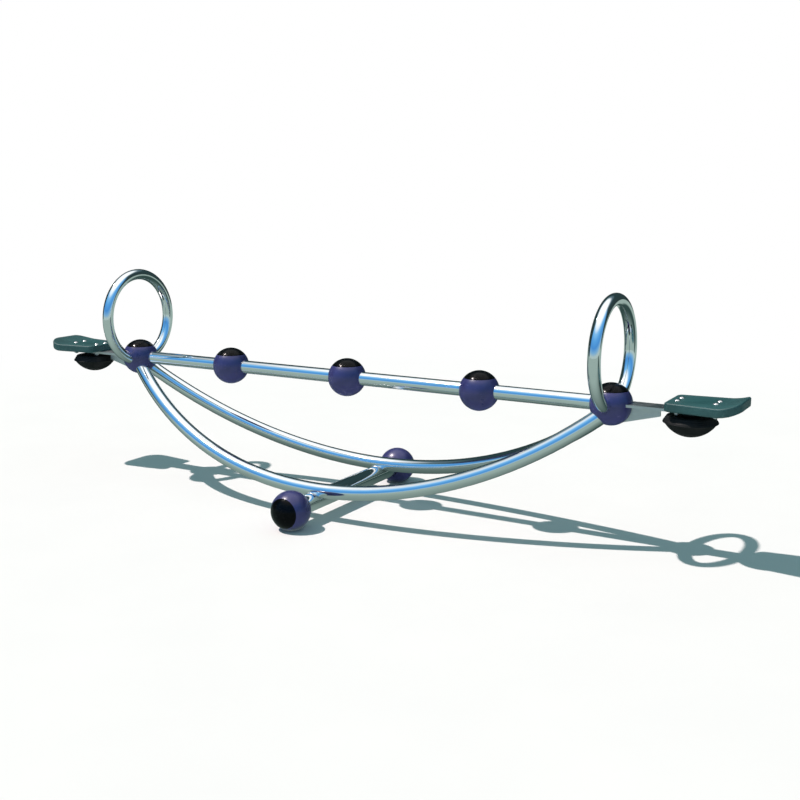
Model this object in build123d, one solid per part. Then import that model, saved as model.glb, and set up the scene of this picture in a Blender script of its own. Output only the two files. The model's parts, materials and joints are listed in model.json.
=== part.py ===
"""Playground seesaw: a tubular rocker with ball joints, tilting on a rubber torsion axle.

Frame: +X runs along the rocker, +Y across it, +Z up. The origin is on the ground,
midway between the two pivot balls. "left" is the -X end and "front" is the -Y side.
All sizes are in millimetres. One STEP file is written for each named piece.
"""
from math import asin, cos, degrees, hypot, radians, sin, sqrt
import os

from build123d import *

# --- overall layout -------------------------------------------------------
BEAM_Z = 548.0          # height of the straight beam's axis
HUB_X = 1152.0          # centre of the seesaw to the centre of a hub ball
DECO_X = 614.0          # centre of the seesaw to an outer ball on the beam
PIVOT_Y = 418.0         # centre of the seesaw to the centre of a pivot ball
ARC_LOW_Y = 252.0       # side distance of an arc tube at its lowest point
ARC_SIT = 46.0          # an arc tube's axis above the tilting axis, at its lowest point

# --- tubes ----------------------------------------------------------------
BEAM_R = 28.5           # straight beam tube, outside radius
BEAM_WALL = 3.0
ARC_R = 30.15           # arc tubes, outside radius
ARC_WALL = 3.0
RING_TUBE_R = 24.0      # hand ring tube, outside radius
RING_WALL = 2.5
RING_R = 198.0          # hand ring, radius of its centre line
RING_DROP = 12.0        # ring centre line below the hub centre at the bottom
RING_END_Y = 34.0       # the ring's two ends stop this far from the hub centre
PIVOT_TUBE_R = 38.0     # cross tube, outside radius
PIVOT_TUBE_WALL = 4.0
ARC_END_Y = 14.0        # arc tube axis, offset from the hub centre where it aims
ARC_END_DROP = 18.0
ARC_END_GAP = 46.0      # arc tube stops this far short of the hub along its axis
BEAM_END_GAP = 28.0     # beam tube stops this far short of the hub centre

# --- balls and caps -------------------------------------------------------
BALL_R = 80.0
PIVOT_FOOT = 4.0        # a pivot ball is cut flat this far up, where it stands
AXLE_Z = BALL_R - PIVOT_FOOT
ARC_LOW_Z = AXLE_Z + ARC_SIT
SKIN = 8.0              # moulded skin over the cast core
CAP_PLANE = 51.0        # the cap starts this far from the ball's centre
CAP_WALL = 5.0
CORE_TOP = 48.0         # flat on top of the core, under the cap
POCKET_R = 44.0         # screw pocket in the core
POCKET_FLOOR = 36.0
SPIGOT_R = 50.0         # the cap's locating ring
SPIGOT_WALL = 3.0
FIT = 0.1               # clearance of a piece that is clamped, glued or welded in
SEAT_GAP = 0.3          # clearance under a cap or around a loose piece

# --- screws ---------------------------------------------------------------
M10_R = 5.0
M10_HEAD_R = 8.0
M10_HEAD_H = 10.0
M10_KEY = 8.0           # across the flats of the hexagon socket
KEY_DEPTH = 5.0
SCREW_TIP_Z = 16.0      # set screws end inside the beam, above its axis
ARM_SCREW_X = 33.0      # seat arm screws, from the hub centre
ARM_SCREW_Y = 12.0
ARM_SCREW_TIP = -24.0
SET_SCREW_X = 35.0      # beam set screw, inboard of the hub centre

# --- tilting axle ---------------------------------------------------------
CORE_SIDE = 26.0        # square bar of the torsion axle
HOUSING_IN = 42.0       # square housing inside the cross tube, inner side
HOUSING_WALL = 2.95
RECESS_IN = 64.0        # floor of the recess for the cross tube, inboard of the ball's centre
RECESS_GAP = 1.5        # running clearance round the cross tube in its recess
TUBE_END_GAP = 2.0      # running clearance between the tube's end and the recess floor
RECESS_R = PIVOT_TUBE_R + RECESS_GAP
RECESS_FLOOR = PIVOT_Y - RECESS_IN
PIVOT_TUBE_END = RECESS_FLOOR - TUBE_END_GAP
BUSH_LENGTH = 24.0
JOURNAL_R = 13.0        # turned journal of the axle, in the end bush
RUNNING_FIT = 0.05      # radial clearance of the journal in its bush
CORD_GAP = 4.0          # between a bush and the ends of the cords and their housing
CORD_END = PIVOT_TUBE_END - BUSH_LENGTH - CORD_GAP
END_SIDE = 18.0         # square ends of the axle, keyed into the pivot balls
AXLE_THREAD_R = 8.0
AXLE_THREAD_LENGTH = 22.0
WASHER_R = 17.0
WASHER_T = 3.0
NUT_FLATS = 24.0
NUT_H = 13.0
AXLE_SHOULDER = 30.0    # outboard of the ball's centre, where the washer bears
INSERT_R = 16.0         # ground anchor insert
INSERT_H = 42.0
INSERT_BORE_R = 8.65    # minor radius of an M20 thread
INSERT_BORE_DEPTH = 38.0

# --- seats, arms and bumpers ----------------------------------------------
ARM_START = 27.0        # arm tongue, from the hub centre
ARM_REACH = 436.0       # end of the arm, from the hub centre
ARM_END_X = HUB_X + ARM_REACH
ARM_W = 80.0
ARM_T = 10.0
WEB_T = 10.0
WEB_REACH = 186.0       # end of the web, from the hub centre
WEB_END_X = HUB_X + WEB_REACH
WEB_DEEP = 76.0
WEB_SHALLOW = 28.0
SEAT_START = 220.0      # front edge of the seat, from the hub centre
SEAT_LENGTH = 268.0
SEAT_X0 = HUB_X + SEAT_START
SEAT_X1 = SEAT_X0 + SEAT_LENGTH
SEAT_T = 32.0
SEAT_FRONT_W = 192.0
SEAT_REAR_W = 256.0
SEAT_CURL = 84.0        # length of the rear part that curls up
SEAT_RISE = 20.0
SEAT_FRONT_CORNER = 24.0
SEAT_REAR_CORNER = 70.0
SEAT_EDGE = 6.0
BOLT_INSET = 32.0       # front seat bolts, behind the seat's front edge
BOLT_SPACING = 136.0
BOLT_X = (SEAT_X0 + BOLT_INSET, SEAT_X0 + BOLT_INSET + BOLT_SPACING)
BOLT_Y = 28.0
BOLT_HEAD_R = 11.0
BOLT_HEAD_H = 5.0
NUT10_FLATS = 17.0
NUT10_H = 8.0
BUMPER_REACH = 295.0    # bumper axis, from the hub centre
BUMPER_X = HUB_X + BUMPER_REACH
BUMPER_TOP_R = 84.0
BUMPER_LIP_R = 98.0
BUMPER_DOME_R = 90.0
BUMPER_TOP = 13.0       # top of the rubber, below the arm
BUMPER_FLARE = 21.0     # height over which it widens to its lip
BUMPER_LIP_H = 4.0
BUMPER_STEP = 4.0       # height of the step from the lip in to the dome
BUMPER_BOTTOM = 90.0
BOSS_R = 34.0
STUD_DEPTH = 36.0       # the stud is moulded this far into the rubber
STUD_R = 6.0
STUD_NUT_FLATS = 18.0
STUD_NUT_H = 8.0
NUT_POCKET_R = 13.0
NUT_POCKET_H = 12.0


def rod(radius, start, end):
    """A round bar from one point to another."""
    start, end = Vector(*start), Vector(*end)
    along = end - start
    plane = Plane(origin=start, z_dir=along)
    return plane * Cylinder(radius, along.length, align=(Align.CENTER, Align.CENTER, Align.MIN))


def pipe(radius, wall, start, end):
    """A round tube from one point to another."""
    return rod(radius, start, end) - rod(radius - wall, start, end)


def block(x, y, z):
    """A box between three (low, high) pairs."""
    size = [high - low for low, high in (x, y, z)]
    centre = [(high + low) / 2 for low, high in (x, y, z)]
    return Pos(*centre) * Box(*size)


def hexagon(flats, height):
    """A hexagonal bar standing on the XY plane."""
    return extrude(RegularPolygon(flats / sqrt(3), 6), height)


def socket_screw(radius, head_r, head_h, tip):
    """A socket head screw, head down on z = 0 and its tip at z = tip."""
    head = Cylinder(head_r, head_h, align=(Align.CENTER, Align.CENTER, Align.MIN))
    head = chamfer(head.edges().group_by(Axis.Z)[-1], 1.0)
    shank = rod(radius, (0, 0, 0), (0, 0, tip))
    key = Pos(0, 0, head_h - KEY_DEPTH) * hexagon(M10_KEY, KEY_DEPTH + 1)
    return head + shank - key


def group(*pieces):
    """Several separate solids in one node."""
    return Compound(children=[s for piece in pieces for s in piece.solids()])


# --- arc tubes ------------------------------------------------------------
def arc_bar(side, radius, end_gap):
    """A round bar bent to the arc of one side tube; side is -1 at the front."""
    low = Vector(0, side * ARC_LOW_Y, ARC_LOW_Z)
    chord = Vector(0, side * ARC_END_Y, BEAM_Z - ARC_END_DROP)
    depth = hypot(low.Y - chord.Y, low.Z - chord.Z)
    down = (low - chord).normalized()
    bend_r = (HUB_X**2 + depth**2) / (2 * depth)
    centre = low - down * bend_r
    half = degrees(asin(HUB_X / bend_r)) - degrees(end_gap / bend_r)
    normal = Vector(1, 0, 0).cross(down)
    start_dir = down * cos(radians(half)) - Vector(1, 0, 0) * sin(radians(half))
    start = centre + start_dir * bend_r
    section = Plane(origin=start, x_dir=start_dir, z_dir=normal.cross(start_dir)) * Circle(radius)
    return revolve(section, Axis(centre, normal * -1), 2 * half)


def arc_tube(side):
    """One bent side tube, notched over the cross tube and kept clear inside the hubs."""
    tube = arc_bar(side, ARC_R, ARC_END_GAP) - arc_bar(side, ARC_R - ARC_WALL, ARC_END_GAP)
    notch = rod(PIVOT_TUBE_R + FIT, (0, -PIVOT_Y, AXLE_Z), (0, PIVOT_Y, AXLE_Z))
    beam = rod(BEAM_R + FIT, (-HUB_X, 0, BEAM_Z), (HUB_X, 0, BEAM_Z))
    own_side = block(
        (-HUB_X, HUB_X), sorted((side * FIT / 2, side * PIVOT_Y)), (0, BEAM_Z + ARC_R)
    )
    return (tube - notch - beam) & own_side


# --- hand rings -----------------------------------------------------------
def ring_bar(radius, end_y):
    """The bent bar of the right hand ring, open where its ends enter the hub."""
    centre_z = BEAM_Z - RING_DROP + RING_R
    hoop = Pos(HUB_X, 0, centre_z) * Rot(0, 90, 0) * Torus(RING_R, radius)
    gap = block(
        (HUB_X - 2 * radius, HUB_X + 2 * radius),
        (-end_y, end_y),
        (centre_z - RING_R - 2 * radius, centre_z),
    )
    return hoop - gap


# --- balls ----------------------------------------------------------------
def ball_core():
    """Cast core, centred on the origin, with its screw pocket upwards."""
    core = Sphere(BALL_R - SKIN - FIT)
    core -= block((-BALL_R, BALL_R), (-BALL_R, BALL_R), (CORE_TOP, BALL_R))
    return core - rod(POCKET_R, (0, 0, POCKET_FLOOR), (0, 0, BALL_R))


def ball_skin():
    """Moulded skin, centred on the origin, open upwards for its cap."""
    skin = Sphere(BALL_R) - Sphere(BALL_R - SKIN)
    return skin - block((-BALL_R, BALL_R), (-BALL_R, BALL_R), (CAP_PLANE, BALL_R))


def ball_cap():
    """Domed cap that carries on the ball's shape, with a locating ring."""
    dome = Sphere(BALL_R) - Sphere(BALL_R - CAP_WALL)
    dome -= block((-BALL_R, BALL_R), (-BALL_R, BALL_R), (-BALL_R, CAP_PLANE + SEAT_GAP))
    inner_r = sqrt((BALL_R - CAP_WALL) ** 2 - (CAP_PLANE + SEAT_GAP) ** 2)
    web = pipe(
        inner_r + 1,
        inner_r + 1 - (SPIGOT_R - SPIGOT_WALL),
        (0, 0, CAP_PLANE + SEAT_GAP),
        (0, 0, CAP_PLANE + SEAT_GAP + SPIGOT_WALL),
    )
    spigot = pipe(
        SPIGOT_R, SPIGOT_WALL, (0, 0, CORE_TOP + SEAT_GAP), (0, 0, CAP_PLANE + SEAT_GAP + 1)
    )
    return dome + web + spigot


def deco_ball(x):
    """Core, skin, cap and set screw of a ball clamped on the beam at x."""
    here = Pos(x, 0, BEAM_Z)
    bore = rod(BEAM_R + FIT, (-BALL_R, 0, 0), (BALL_R, 0, 0))
    hole = rod(M10_R + FIT, (0, 0, 0), (0, 0, POCKET_FLOOR + 1))
    screw = Pos(0, 0, POCKET_FLOOR) * socket_screw(
        M10_R, M10_HEAD_R, M10_HEAD_H, SCREW_TIP_Z - POCKET_FLOOR
    )
    return {
        "core": here * (ball_core() - bore - hole),
        "skin": here * (ball_skin() - bore),
        "cap": here * ball_cap(),
        "screw": here * screw,
    }


def hub_parts():
    """Core, skin, cap and screws of the right hub ball."""
    here = Pos(HUB_X, 0, BEAM_Z)
    back = here.inverse()
    cutters = [
        rod(BEAM_R + FIT, (-BALL_R, 0, 0), (-BEAM_END_GAP + FIT, 0, 0)),
        back * ring_bar(RING_TUBE_R + FIT, RING_END_Y - FIT),
        block((ARM_START - FIT, BALL_R), (-ARM_W / 2 - FIT, ARM_W / 2 + FIT), (-FIT, ARM_T + FIT)),
    ]
    for side in (-1, 1):
        cutters.append(back * arc_bar(side, ARC_R + FIT, ARC_END_GAP - FIT))
    core, skin = ball_core(), ball_skin()
    for cutter in cutters:
        core -= cutter
        skin -= cutter
    core -= rod(M10_R + FIT, (-SET_SCREW_X, 0, 0), (-SET_SCREW_X, 0, POCKET_FLOOR + 1))
    for side in (-1, 1):
        spot = (ARM_SCREW_X, side * ARM_SCREW_Y)
        core -= rod(M10_R + FIT, (*spot, ARM_SCREW_TIP - 1), (*spot, POCKET_FLOOR + 1))
    set_screw = Pos(-SET_SCREW_X, 0, POCKET_FLOOR) * socket_screw(
        M10_R, M10_HEAD_R, M10_HEAD_H, SCREW_TIP_Z - POCKET_FLOOR
    )
    arm_screws = [
        Pos(ARM_SCREW_X, side * ARM_SCREW_Y, POCKET_FLOOR)
        * socket_screw(M10_R, M10_HEAD_R, M10_HEAD_H, ARM_SCREW_TIP - POCKET_FLOOR)
        for side in (-1, 1)
    ]
    return {
        "hub_core": here * core,
        "hub_skin": here * skin,
        "hub_cap": here * ball_cap(),
        "beam_set_screw": here * set_screw,
        "arm_screws": here * group(*arm_screws),
    }


# --- pivot balls and axle -------------------------------------------------
FRONT_BALL = Pos(0, -PIVOT_Y, AXLE_Z) * Rot(90, 0, 0)   # its cap faces -Y


def square_bar(side, start_y, end_y):
    """A square bar along Y on the tilting axis, standing on one edge."""
    turned = Rot(0, 45, 0) * Box(side, end_y - start_y, side)
    return Pos(0, (start_y + end_y) / 2, AXLE_Z) * turned


def pivot_parts():
    """Core, skin and cap of the front pivot ball, and its ground insert."""
    foot = block((-BALL_R, BALL_R), (-PIVOT_Y - BALL_R, 0), (-BALL_R, 0))
    recess = rod(RECESS_R, (0, -RECESS_FLOOR, AXLE_Z), (0, 0, AXLE_Z))
    insert_hole = rod(INSERT_R + FIT, (0, -PIVOT_Y, -1), (0, -PIVOT_Y, INSERT_H + FIT))
    core = FRONT_BALL * ball_core() - foot - recess - insert_hole
    core -= rod(WASHER_R + 2, (0, -PIVOT_Y - AXLE_SHOULDER, AXLE_Z), (0, -PIVOT_Y - BALL_R, AXLE_Z))
    core -= square_bar(END_SIDE + 2 * FIT, -PIVOT_Y - BALL_R, 0)
    skin = FRONT_BALL * ball_skin() - foot - recess - insert_hole
    insert = rod(INSERT_R, (0, -PIVOT_Y, 0), (0, -PIVOT_Y, INSERT_H))
    insert -= rod(INSERT_BORE_R, (0, -PIVOT_Y, -1), (0, -PIVOT_Y, INSERT_BORE_DEPTH))
    return {
        "pivot_core": core,
        "pivot_skin": skin,
        "pivot_cap": FRONT_BALL * ball_cap(),
        "insert": insert,
    }


def axle_pieces():
    """Stepped torsion axle with threaded ends, its washers and its nuts."""
    shoulder = PIVOT_Y + AXLE_SHOULDER
    tip = shoulder + WASHER_T + AXLE_THREAD_LENGTH - SEAT_GAP
    bar = square_bar(CORE_SIDE, -CORD_END, CORD_END)
    for side in (-1, 1):
        journal_end = side * (RECESS_FLOOR - FIT)
        bar += rod(JOURNAL_R, (0, side * CORD_END, AXLE_Z), (0, journal_end, AXLE_Z))
    bar += square_bar(END_SIDE, -shoulder, shoulder)
    thread = rod(AXLE_THREAD_R, (0, -tip, AXLE_Z), (0, tip, AXLE_Z))
    washer = pipe(
        WASHER_R,
        WASHER_R - AXLE_THREAD_R - FIT,
        (0, -shoulder - FIT, AXLE_Z),
        (0, -shoulder - FIT - WASHER_T, AXLE_Z),
    )
    nut = hexagon(NUT_FLATS, NUT_H) - rod(AXLE_THREAD_R + FIT, (0, 0, -1), (0, 0, NUT_H + 1))
    nut = chamfer(nut.faces().sort_by(Axis.Z)[-1].outer_wire().edges(), 1.5)
    nut = Pos(0, -shoulder - 2 * FIT - WASHER_T, AXLE_Z) * Rot(90, 0, 0) * nut
    return bar + thread, washer, nut


def torsion_pieces():
    """Cross tube, square housing, rubber cords and end bushes."""
    end = PIVOT_TUBE_END
    tube = pipe(PIVOT_TUBE_R, PIVOT_TUBE_WALL, (0, -end, AXLE_Z), (0, end, AXLE_Z))
    inner = HOUSING_IN / 2
    outer = inner + HOUSING_WALL
    span = (-CORD_END, CORD_END)
    housing = block((-outer, outer), span, (AXLE_Z - outer, AXLE_Z + outer))
    housing -= block((-inner, inner), span, (AXLE_Z - inner, AXLE_Z + inner))
    cord_r = (inner - CORE_SIDE / (2 * sqrt(2))) / (1 + 1 / sqrt(2)) - FIT
    reach = (CORE_SIDE / 2 + cord_r + FIT) / sqrt(2)
    cords = [
        rod(cord_r, (x, -CORD_END, AXLE_Z + z), (x, CORD_END, AXLE_Z + z))
        for x in (-reach, reach)
        for z in (-reach, reach)
    ]
    bore = PIVOT_TUBE_R - PIVOT_TUBE_WALL
    bushes = [
        pipe(
            bore - FIT,
            bore - FIT - JOURNAL_R - RUNNING_FIT,
            (0, side * (end - BUSH_LENGTH), AXLE_Z),
            (0, side * end, AXLE_Z),
        )
        for side in (-1, 1)
    ]
    return tube, housing, group(*cords), group(*bushes)


# --- seats, arms and bumpers ----------------------------------------------
def seat_board():
    """Right seat: a thick board, wider at the rear, where it curls up."""
    z0 = BEAM_Z + ARM_T
    curl_r = (SEAT_CURL**2 + SEAT_RISE**2) / (2 * SEAT_RISE)
    turn = asin(SEAT_CURL / curl_r)
    curl_x = SEAT_X1 - SEAT_CURL
    centre_z = z0 + curl_r

    def on_curl(radius, share):
        """A point on the curl, at a share of its turn."""
        angle = turn * share
        return (curl_x + radius * sin(angle), centre_z - radius * cos(angle))

    top_r = curl_r - SEAT_T
    outline = [
        Line((SEAT_X0, z0), (curl_x, z0)),
        ThreePointArc((curl_x, z0), on_curl(curl_r, 0.7), on_curl(curl_r, 1.4)),
        Line(on_curl(curl_r, 1.4), on_curl(top_r, 1.4)),
        ThreePointArc(on_curl(top_r, 1.4), on_curl(top_r, 0.7), on_curl(top_r, 0)),
        Line(on_curl(top_r, 0), (SEAT_X0, z0 + SEAT_T)),
        Line((SEAT_X0, z0 + SEAT_T), (SEAT_X0, z0)),
    ]
    side_view = Plane.XZ * make_face(Curve() + outline)
    slab = extrude(side_view, SEAT_REAR_W / 2, both=True)
    front, rear = SEAT_FRONT_W / 2, SEAT_REAR_W / 2
    corners = [(SEAT_X0, -front), (SEAT_X1, -rear), (SEAT_X1, rear), (SEAT_X0, front)]
    plan = make_face(Polyline(*corners, close=True))
    by_x = plan.vertices().group_by(Axis.X)
    plan = fillet(by_x[-1], SEAT_REAR_CORNER)
    by_x = plan.vertices().group_by(Axis.X)
    plan = fillet(by_x[0], SEAT_FRONT_CORNER)
    tall = extrude(Pos(0, 0, z0 - SEAT_T) * plan, 4 * SEAT_T)
    board = slab & tall
    rims = [e for e in board.edges() if is_rim(e, curl_x)]
    board = fillet(rims, SEAT_EDGE)
    for x in BOLT_X:
        for y in (-BOLT_Y, BOLT_Y):
            board -= rod(M10_R + SEAT_GAP, (x, y, z0 - 1), (x, y, z0 + 2 * SEAT_T))
    return board - rod(NUT_POCKET_R, (BUMPER_X, 0, z0 - 1), (BUMPER_X, 0, z0 + NUT_POCKET_H))


def is_rim(edge, curl_x):
    """Whether an edge runs round the seat's top or bottom face."""
    middle = edge.position_at(0.5)
    crossing = abs(middle.X - curl_x) < 1e-3 and abs(middle.Y) < 1e-3
    return not crossing and abs(edge.tangent_at(0.5).Z) < 0.7


def seat_arm():
    """Right seat arm: a flat bar into the hub, with a tapered web below."""
    bar = block(
        (HUB_X + ARM_START, ARM_END_X), (-ARM_W / 2, ARM_W / 2), (BEAM_Z, BEAM_Z + ARM_T)
    )
    corners = bar.edges().filter_by(Axis.Z).group_by(Axis.X)[-1]
    bar = fillet(corners, ARM_W / 4)
    profile = [
        (HUB_X, BEAM_Z),
        (HUB_X, BEAM_Z - WEB_DEEP),
        (WEB_END_X, BEAM_Z - WEB_SHALLOW),
        (WEB_END_X, BEAM_Z),
    ]
    web = extrude(Plane.XZ * make_face(Polyline(*profile, close=True)), WEB_T / 2, both=True)
    web -= Pos(HUB_X, 0, BEAM_Z) * Sphere(BALL_R + SEAT_GAP)
    arm = bar + web
    for side in (-1, 1):
        spot = (HUB_X + ARM_SCREW_X, side * ARM_SCREW_Y)
        arm -= rod(M10_R + SEAT_GAP, (*spot, BEAM_Z - 1), (*spot, BEAM_Z + ARM_T + 1))
    for x in BOLT_X:
        for y in (-BOLT_Y, BOLT_Y):
            arm -= rod(M10_R + SEAT_GAP, (x, y, BEAM_Z - 1), (x, y, BEAM_Z + ARM_T + 1))
    return arm - rod(
        STUD_R + SEAT_GAP, (BUMPER_X, 0, BEAM_Z - 1), (BUMPER_X, 0, BEAM_Z + ARM_T + 1)
    )


def seat_fasteners():
    """Carriage bolts through the right seat and arm, and their nuts."""
    seat_top = BEAM_Z + ARM_T + SEAT_T
    tip = BEAM_Z - FIT - NUT10_H - 2
    cap_r = (BOLT_HEAD_R**2 + BOLT_HEAD_H**2) / (2 * BOLT_HEAD_H)
    bolts, nuts = [], []
    for x in BOLT_X:
        for y in (-BOLT_Y, BOLT_Y):
            head = Pos(x, y, seat_top + BOLT_HEAD_H - cap_r) * Sphere(cap_r)
            head &= rod(BOLT_HEAD_R + 1, (x, y, seat_top), (x, y, seat_top + 2 * BOLT_HEAD_H))
            bolts.append(head + rod(M10_R, (x, y, tip), (x, y, seat_top + 1)))
            nut = hexagon(NUT10_FLATS, NUT10_H) - rod(M10_R + FIT, (0, 0, -1), (0, 0, NUT10_H + 1))
            nuts.append(Pos(x, y, BEAM_Z - FIT - NUT10_H) * nut)
    return group(*bolts), group(*nuts)


def bumper_pieces():
    """Right rubber bumper with its moulded stud's nut."""
    lip_top = -BUMPER_TOP - BUMPER_FLARE
    lip_low = lip_top - BUMPER_LIP_H
    dome_top = lip_low - BUMPER_STEP
    drop = BUMPER_BOTTOM + dome_top
    sphere_r = (BUMPER_DOME_R**2 + drop**2) / (2 * drop)
    middle_angle = asin(BUMPER_DOME_R / sphere_r) / 2
    centre_z = -BUMPER_BOTTOM + sphere_r
    mid_dome = (sphere_r * sin(middle_angle), centre_z - sphere_r * cos(middle_angle))
    profile = [
        Line((0, 0), (BOSS_R, 0)),
        Line((BOSS_R, 0), (BOSS_R, -BUMPER_TOP)),
        Line((BOSS_R, -BUMPER_TOP), (BUMPER_TOP_R, -BUMPER_TOP)),
        Line((BUMPER_TOP_R, -BUMPER_TOP), (BUMPER_LIP_R, lip_top)),
        Line((BUMPER_LIP_R, lip_top), (BUMPER_LIP_R, lip_low)),
        Line((BUMPER_LIP_R, lip_low), (BUMPER_DOME_R, dome_top)),
        ThreePointArc((BUMPER_DOME_R, dome_top), mid_dome, (0, -BUMPER_BOTTOM)),
        Line((0, -BUMPER_BOTTOM), (0, 0)),
    ]
    face = Plane.XZ * make_face(Curve() + profile)
    rubber = revolve(face, Axis.Z)
    stud_top = ARM_T + STUD_NUT_H + 1.0
    pocket = rod(STUD_R + FIT, (0, 0, -STUD_DEPTH), (0, 0, 1))
    stud = rod(STUD_R, (0, 0, -STUD_DEPTH + FIT), (0, 0, stud_top))
    nut = hexagon(STUD_NUT_FLATS, STUD_NUT_H) - rod(STUD_R + FIT, (0, 0, -1), (0, 0, STUD_NUT_H + 1))
    here = Pos(BUMPER_X, 0, BEAM_Z - FIT)
    return here * (rubber - pocket), here * stud, here * Pos(0, 0, ARM_T + 2 * FIT) * nut


# --- writing --------------------------------------------------------------
def write(name, shape):
    """Writes one node's STEP file."""
    export_step(shape, f"parts/{name}.step")


def write_both_ends(name, shape):
    """Writes the right-hand piece and its mirror image at the left."""
    write(f"right_{name}", shape)
    write(f"left_{name}", mirror(shape, about=Plane.YZ))


def write_both_sides(name, shape):
    """Writes the front piece and its mirror image at the rear."""
    write(f"front_{name}", shape)
    write(f"rear_{name}", mirror(shape, about=Plane.XZ))


def build():
    """Builds and writes every piece."""
    os.makedirs("parts", exist_ok=True)

    beam_end = HUB_X - BEAM_END_GAP
    beam = pipe(BEAM_R, BEAM_WALL, (-beam_end, 0, BEAM_Z), (beam_end, 0, BEAM_Z))
    for x in (-DECO_X, 0, DECO_X, SET_SCREW_X - HUB_X, HUB_X - SET_SCREW_X):
        beam -= rod(M10_R + FIT, (x, 0, BEAM_Z), (x, 0, BEAM_Z + BEAM_R + 1))
    write("beam_tube", beam)

    for name, x in (("left", -DECO_X), ("centre", 0), ("right", DECO_X)):
        for piece, shape in deco_ball(x).items():
            write(f"{name}_ball_{piece}", shape)

    for name, shape in hub_parts().items():
        write_both_ends(name, shape)
    ring = ring_bar(RING_TUBE_R, RING_END_Y) - ring_bar(RING_TUBE_R - RING_WALL, RING_END_Y - 1)
    write_both_ends("hand_ring", ring)
    write_both_ends("seat", seat_board())
    write_both_ends("seat_arm", seat_arm())
    bolts, nuts = seat_fasteners()
    write_both_ends("seat_bolts", bolts)
    rubber, stud, stud_nut = bumper_pieces()
    write_both_ends("bumper", rubber)
    write_both_ends("bumper_stud", stud)
    write_both_ends("underseat_nuts", group(nuts, stud_nut))

    write("front_arc_tube", arc_tube(-1))
    write("rear_arc_tube", arc_tube(1))
    tube, housing, cords, bushes = torsion_pieces()
    write("cross_tube", tube)
    write("torsion_housing", housing)
    write("rubber_cords", cords)
    write("end_bushes", bushes)

    pivots = pivot_parts()
    for name in ("pivot_core", "pivot_skin", "pivot_cap"):
        write_both_sides(name, pivots[name])
    write("ground_inserts", group(pivots["insert"], mirror(pivots["insert"], about=Plane.XZ)))
    axle, washer, nut = axle_pieces()
    write("torsion_axle", axle)
    write("axle_washers", group(washer, mirror(washer, about=Plane.XZ)))
    write("axle_nuts", group(nut, mirror(nut, about=Plane.XZ)))


build()
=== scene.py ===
"""Looks of a playground seesaw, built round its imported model.

All places are in metres in the model's own frame: +X runs along the beam, +Y across it and
+Z up, with the origin on the ground midway between the two pivot balls. The base stays still
and the rocker tilts on it, so every piece made here rides one of those two bodies.
"""

from __future__ import annotations

import json
import logging
import math
from dataclasses import dataclass
from enum import Enum

import bmesh
import bpy
from mathutils import Matrix, Vector

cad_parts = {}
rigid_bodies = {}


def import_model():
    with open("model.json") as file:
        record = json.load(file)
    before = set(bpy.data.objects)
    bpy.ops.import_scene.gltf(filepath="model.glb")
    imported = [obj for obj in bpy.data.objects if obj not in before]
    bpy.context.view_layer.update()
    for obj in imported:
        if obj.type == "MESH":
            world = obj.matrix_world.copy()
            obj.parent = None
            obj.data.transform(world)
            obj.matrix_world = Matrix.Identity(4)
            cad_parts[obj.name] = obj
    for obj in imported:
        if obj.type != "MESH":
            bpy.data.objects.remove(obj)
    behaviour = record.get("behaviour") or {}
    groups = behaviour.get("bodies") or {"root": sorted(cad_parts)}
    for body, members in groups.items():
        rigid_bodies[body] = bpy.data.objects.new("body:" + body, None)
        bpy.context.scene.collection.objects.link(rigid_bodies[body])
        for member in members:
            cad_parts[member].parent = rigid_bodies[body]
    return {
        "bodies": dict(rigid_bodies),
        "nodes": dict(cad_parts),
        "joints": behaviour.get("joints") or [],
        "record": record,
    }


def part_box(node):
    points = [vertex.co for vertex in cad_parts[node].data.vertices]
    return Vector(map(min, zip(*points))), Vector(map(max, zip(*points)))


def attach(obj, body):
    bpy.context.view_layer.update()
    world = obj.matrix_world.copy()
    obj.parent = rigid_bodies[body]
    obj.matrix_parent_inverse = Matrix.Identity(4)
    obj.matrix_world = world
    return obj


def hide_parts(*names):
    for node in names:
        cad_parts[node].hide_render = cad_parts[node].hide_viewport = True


LOG = logging.getLogger("seesaw")
Triple = tuple[float, float, float]
Colour = Triple
Profile = list[tuple[float, float]]
Sky = tuple[tuple[float, Colour], ...]
Finishes = dict[str, bpy.types.Material]
UP = Vector((0.0, 0.0, 1.0))
EVEN = (1.0, 1.0, 1.0)
# The beam's axis and the underside of the seat arms, above the ground.
BEAM_Z = 0.548
# Each pivot ball's parting plane, from the middle.
PIVOT_Y = 0.418
# Edges that turn further than this stay sharp.
SMOOTH_UP_TO = math.radians(38.0)
# Points nearer than this are merged, and edges shorter than this are dropped.
SAME_POINT = 1e-6
NO_LENGTH = 1e-7


class Body(Enum):
    """The two bodies that a piece can ride."""

    BASE = "base"
    ROCKER = "rocker"


class End(Enum):
    """The two ends of the rocker, with the sign of their X."""

    LEFT = -1
    RIGHT = 1

    @property
    def word(self) -> str:
        """The end's name as the model's nodes spell it."""
        return self.name.lower()


class Side(Enum):
    """The two sides of the seesaw, with the sign of their Y."""

    FRONT = -1
    REAR = 1

    @property
    def word(self) -> str:
        """The side's name as the model's nodes spell it."""
        return self.name.lower()


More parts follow.
